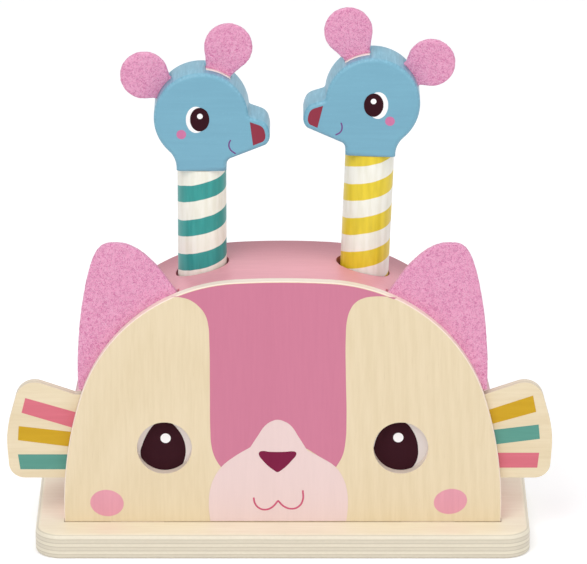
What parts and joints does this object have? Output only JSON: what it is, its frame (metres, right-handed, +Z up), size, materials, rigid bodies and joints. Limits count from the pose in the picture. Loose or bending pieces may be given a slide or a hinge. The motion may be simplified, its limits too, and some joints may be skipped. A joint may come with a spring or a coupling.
{
  "type": "pop up animal toy",
  "caption": "Wooden cat face housing with two spring mounted mice on striped rods that press down and pop up, and a whisker slider that moves the eyes.",
  "frame": {"origin": "centre of the base board's underside", "axes": "+X to the viewer's right in front of the cat face, +Y to the back, +Z up"},
  "size_m": [0.2245, 0.08, 0.2238],
  "materials": {
    "birch_ply": "clear varnished birch plywood",
    "face_print": "birch plywood, printed cat face, satin varnish",
    "pink_paint": "plywood painted dusty pink, satin",
    "raw_wood": "plain beech or birch, inside the housing",
    "slider_print": "birch plywood with printed whiskers and eyes",
    "felt_pink": "pink wool felt",
    "mouse_blue": "wood painted mouse blue, satin",
    "teal_stripe": "wood painted with teal and white stripes",
    "yellow_stripe": "wood painted with yellow and white stripes",
    "spring_steel": "spring steel wire",
    "screw_steel": "zinc plated steel",
    "cap_plastic": "moulded plastic cap"
  },
  "bodies": {
    "housing": {"base_board": "birch_ply", "front_panel": "face_print", "back_panel": "birch_ply", "roof_arch": "pink_paint", "guide_shelf": "raw_wood", "shelf_dowels": "raw_wood", "base_screws": "screw_steel", "slider_stop_pin": "raw_wood", "slider_rail_lower": "raw_wood", "slider_rail_upper": "raw_wood", "cat_ear_left": "felt_pink", "cat_ear_right": "felt_pink", "left_spring": "spring_steel", "left_spring_peg": "raw_wood", "right_spring": "spring_steel", "right_spring_peg": "raw_wood"},
    "whiskers": {"whisker_slider": "slider_print"},
    "left_lift": {"left_spring_cap": "cap_plastic"},
    "left_mouse": {"left_head": "mouse_blue", "left_back_ear": "felt_pink", "left_front_ear": "felt_pink", "left_rod": "teal_stripe", "left_head_dowel": "raw_wood", "left_collar": "raw_wood", "left_collar_screw": "screw_steel"},
    "right_lift": {"right_spring_cap": "cap_plastic"},
    "right_mouse": {"right_head": "mouse_blue", "right_back_ear": "felt_pink", "right_front_ear": "felt_pink", "right_rod": "yellow_stripe", "right_head_dowel": "raw_wood", "right_collar": "raw_wood", "right_collar_screw": "screw_steel"}
  },
  "joints": [
    {"name": "whisker_slide", "type": "slide", "parent": "housing", "child": "whiskers", "axis": [1, 0, 0], "range_m": [-0.00375, 0.00625]},
    {"name": "left_lift", "type": "slide", "parent": "housing", "child": "left_lift", "axis": [0, 0, 1], "range_m": [-0.036, 0.006], "stiffness_N_per_m": 120, "springref_m": 0.0029, "deforming": ["left_spring"]},
    {"name": "left_spin", "type": "hinge", "parent": "left_lift", "child": "left_mouse", "pos_m": [-0.033, 0.0025, 0.1575], "axis": [0, 0, 1], "continuous": true},
    {"name": "right_lift", "type": "slide", "parent": "housing", "child": "right_lift", "axis": [0.0401, 0, 0.9992], "range_m": [-0.038, 0], "stiffness_N_per_m": 120, "springref_m": 0.01, "deforming": ["right_spring"]},
    {"name": "right_spin", "type": "hinge", "parent": "right_lift", "child": "right_mouse", "pos_m": [0.03568, 0.0025, 0.1638], "axis": [0.0401, 0, 0.9992], "continuous": true}
  ]
}
